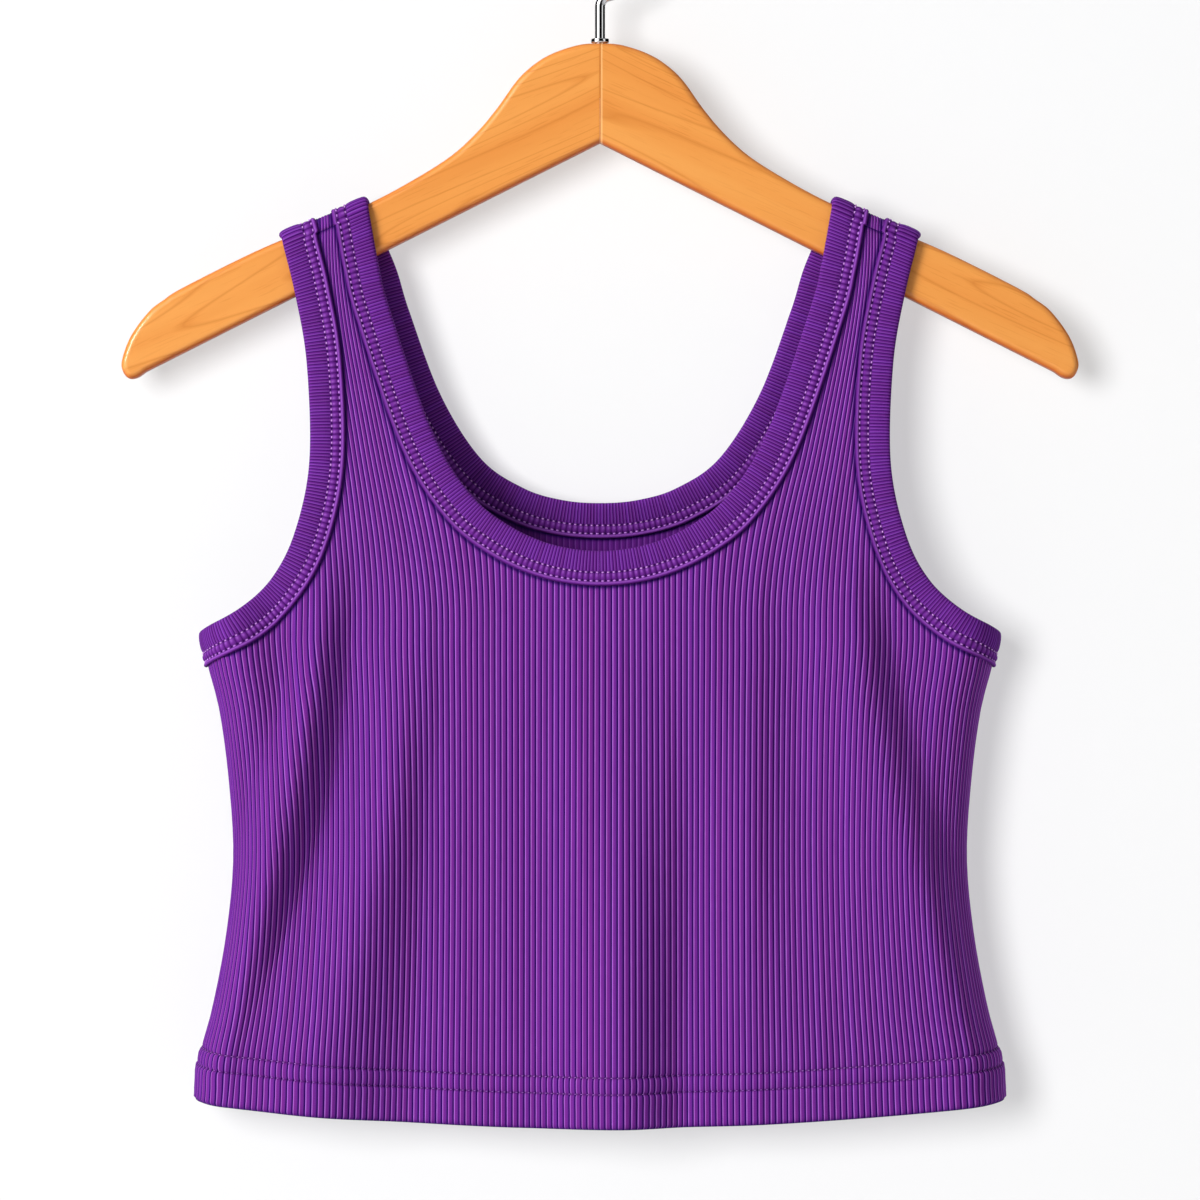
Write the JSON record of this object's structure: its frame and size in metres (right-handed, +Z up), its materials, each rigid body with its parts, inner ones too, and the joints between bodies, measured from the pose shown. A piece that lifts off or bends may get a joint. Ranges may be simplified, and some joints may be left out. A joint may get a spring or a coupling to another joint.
{
  "type": "crop tank top on a wooden hanger",
  "caption": "Sleeveless rib-knit crop tank top with folded bindings, hung flat on a wooden hanger whose wire hook carries it.",
  "frame": {"origin": "inside of the hook's crown, where a rail carries the hanger", "axes": "+Z up, +X to the viewer's right as the front is seen, -Y towards the viewer, out of the front panel"},
  "size_m": [0.4446, 0.0617, 0.5678],
  "materials": {
    "rib_knit": "purple rib knit",
    "rib_binding": "purple rib knit binding",
    "wood": "lacquered honey wood",
    "wire": "polished"
  },
  "bodies": {
    "root": {"front_panel": "rib_knit", "back_panel": "rib_knit", "neck_binding": "rib_binding", "armhole_binding_left": "rib_binding", "armhole_binding_right": "rib_binding", "hanger_left": "wood", "hanger_right": "wood", "hook": "wire", "hook_collar": "wire"}
  },
  "joints": []
}
